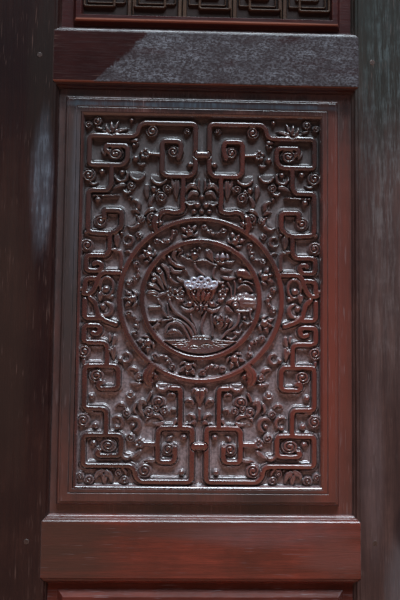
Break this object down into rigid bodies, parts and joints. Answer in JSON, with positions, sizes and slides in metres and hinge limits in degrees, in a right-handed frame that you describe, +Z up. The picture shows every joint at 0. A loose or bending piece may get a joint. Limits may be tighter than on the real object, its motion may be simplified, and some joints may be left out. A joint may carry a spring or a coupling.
{
  "type": "carved temple door",
  "caption": "Timber door leaf with a carved fret and lotus panel, open lattice and wooden bolt, swinging on integral pins in its own frame.",
  "frame": {"origin": "under the middle of the threshold, in the plane of the leaf's pivot pins", "axes": "+Z up along the door's height, +X to the right as the carved face is seen, -Y out of the carved face"},
  "size_m": [0.864, 0.1495, 2.638],
  "materials": {
    "frame_timber": "worn red-brown lacquer",
    "leaf_timber": "glossy worn red-brown lacquer",
    "carved_timber": "glossy lacquer with dust in the carving",
    "lattice_timber": "dusty red lacquer",
    "peg_timber": "worn lacquer, end grain",
    "bolt_timber": "handled bare wood"
  },
  "bodies": {
    "frame": {"threshold": "frame_timber", "head": "frame_timber", "jamb_hinge_side": "frame_timber", "jamb_latch_side": "frame_timber", "pivot_block": "frame_timber", "pivot_block_pegs": "peg_timber", "frame_pegs": "peg_timber", "stop_hinge_side": "frame_timber", "stop_latch_side": "frame_timber", "stop_head": "frame_timber", "stop_pegs": "peg_timber"},
    "leaf": {"hanging_stile": "leaf_timber", "latch_stile": "leaf_timber", "bottom_rail": "leaf_timber", "lower_rail": "leaf_timber", "upper_rail": "leaf_timber", "waist_rail": "leaf_timber", "lattice_rail": "leaf_timber", "top_rail": "leaf_timber", "leaf_pegs": "peg_timber", "bottom_panel": "leaf_timber", "carved_panel": "carved_timber", "waist_panel": "carved_timber", "top_panel": "leaf_timber", "lattice_edge_uprights": "lattice_timber", "lattice_edge_rails": "lattice_timber", "lattice_uprights": "lattice_timber", "lattice_crossbars": "lattice_timber", "keeper_inner": "bolt_timber", "keeper_outer": "bolt_timber", "keeper_pegs": "peg_timber"},
    "bolt": {"bolt_bar": "bolt_timber", "bolt_handle": "bolt_timber"}
  },
  "joints": [
    {"name": "leaf_swing", "type": "hinge", "parent": "frame", "child": "leaf", "pos_m": [-0.321, 0, 1.3], "axis": [0, 0, 1], "range_deg": [0, 90]},
    {"name": "bolt_slide", "type": "slide", "parent": "leaf", "child": "bolt", "axis": [1, 0, 0], "range_m": [0, 0.045]}
  ]
}
